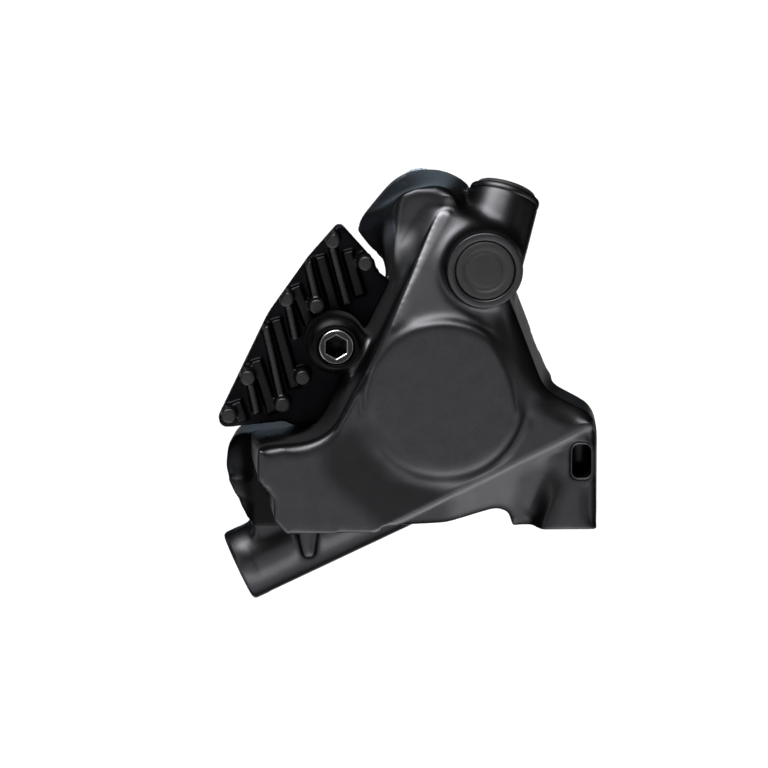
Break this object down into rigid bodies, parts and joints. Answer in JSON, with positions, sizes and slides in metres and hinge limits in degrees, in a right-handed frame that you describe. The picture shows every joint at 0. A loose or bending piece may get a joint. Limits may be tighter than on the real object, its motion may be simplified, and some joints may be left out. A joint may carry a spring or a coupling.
{
  "type": "bicycle disc brake caliper",
  "caption": "Flat-mount hydraulic bicycle disc brake caliper: two-part casting, cup pistons, finned pads on an axle, valve screw and bleed tube with caps.",
  "frame": {"origin": "between the two frame threads, on the mounting face", "axes": "+X from the hose end to the slotted foot, +Y from the outer half through the disc to the inner half, +Z out of the frame tube"},
  "size_m": [0.0539, 0.0406, 0.0641],
  "materials": {
    "body": "satin black anodised",
    "fin": "matte black",
    "dark_steel": "blackened",
    "spring_steel": "plain rolled sheet",
    "backplate": "dark coated steel",
    "lining": "resin friction material",
    "piston": "ceramic",
    "seal_rubber": "smooth",
    "cap_rubber": "matte dark grey",
    "nipple": "plain"
  },
  "bodies": {
    "caliper": {"outboard_body": "body", "inboard_body": "body", "body_bolts": "dark_steel", "passage_seal": "seal_rubber", "outboard_piston_seal": "seal_rubber", "inboard_piston_seal": "seal_rubber", "pad_spring": "spring_steel", "pad_axle": "dark_steel", "pad_axle_clip": "spring_steel", "bleed_nipple": "nipple"},
    "outboard_piston": {"outboard_piston": "piston"},
    "inboard_piston": {"inboard_piston": "piston"},
    "outboard_pad": {"outboard_backplate": "backplate", "outboard_lining": "lining", "outboard_fin": "fin"},
    "inboard_pad": {"inboard_backplate": "backplate", "inboard_lining": "lining", "inboard_fin": "fin"},
    "bleed_cap": {"bleed_nipple_cap": "cap_rubber"},
    "valve_screw": {"valve_screw": "dark_steel", "valve_screw_seal": "seal_rubber"},
    "valve_cap": {"valve_screw_cap": "cap_rubber"}
  },
  "joints": [
    {"name": "outboard_piston_slide", "type": "slide", "parent": "caliper", "child": "outboard_piston", "axis": [0, 1, 0], "range_m": [-0.0005, 0.0011]},
    {"name": "inboard_piston_slide", "type": "slide", "parent": "caliper", "child": "inboard_piston", "axis": [0, -1, 0], "range_m": [-0.0005, 0.0011]},
    {"name": "outboard_pad_slide", "type": "slide", "parent": "caliper", "child": "outboard_pad", "axis": [0, 1, 0], "range_m": [-0.0005, 0.0011], "deforming": ["pad_spring"]},
    {"name": "inboard_pad_slide", "type": "slide", "parent": "caliper", "child": "inboard_pad", "axis": [0, -1, 0], "range_m": [-0.0005, 0.0011]},
    {"name": "valve_screw_turn", "type": "hinge", "parent": "caliper", "child": "valve_screw", "pos_m": [0.00626, 0, 0.0381], "axis": [0, -1, 0], "range_deg": [0, 90]},
    {"name": "valve_cap_pull", "type": "slide", "parent": "caliper", "child": "valve_cap", "axis": [0, -1, 0], "range_m": [0, 0.006]},
    {"name": "bleed_cap_pull", "type": "slide", "parent": "caliper", "child": "bleed_cap", "axis": [0.2838, 0.4067, 0.8683], "range_m": [0, 0.008]}
  ],
  "couplings": [
    {"joint": "inboard_piston_slide", "follows": "outboard_piston_slide", "ratio": 1},
    {"joint": "outboard_pad_slide", "follows": "outboard_piston_slide", "ratio": 1},
    {"joint": "inboard_pad_slide", "follows": "outboard_piston_slide", "ratio": 1}
  ]
}
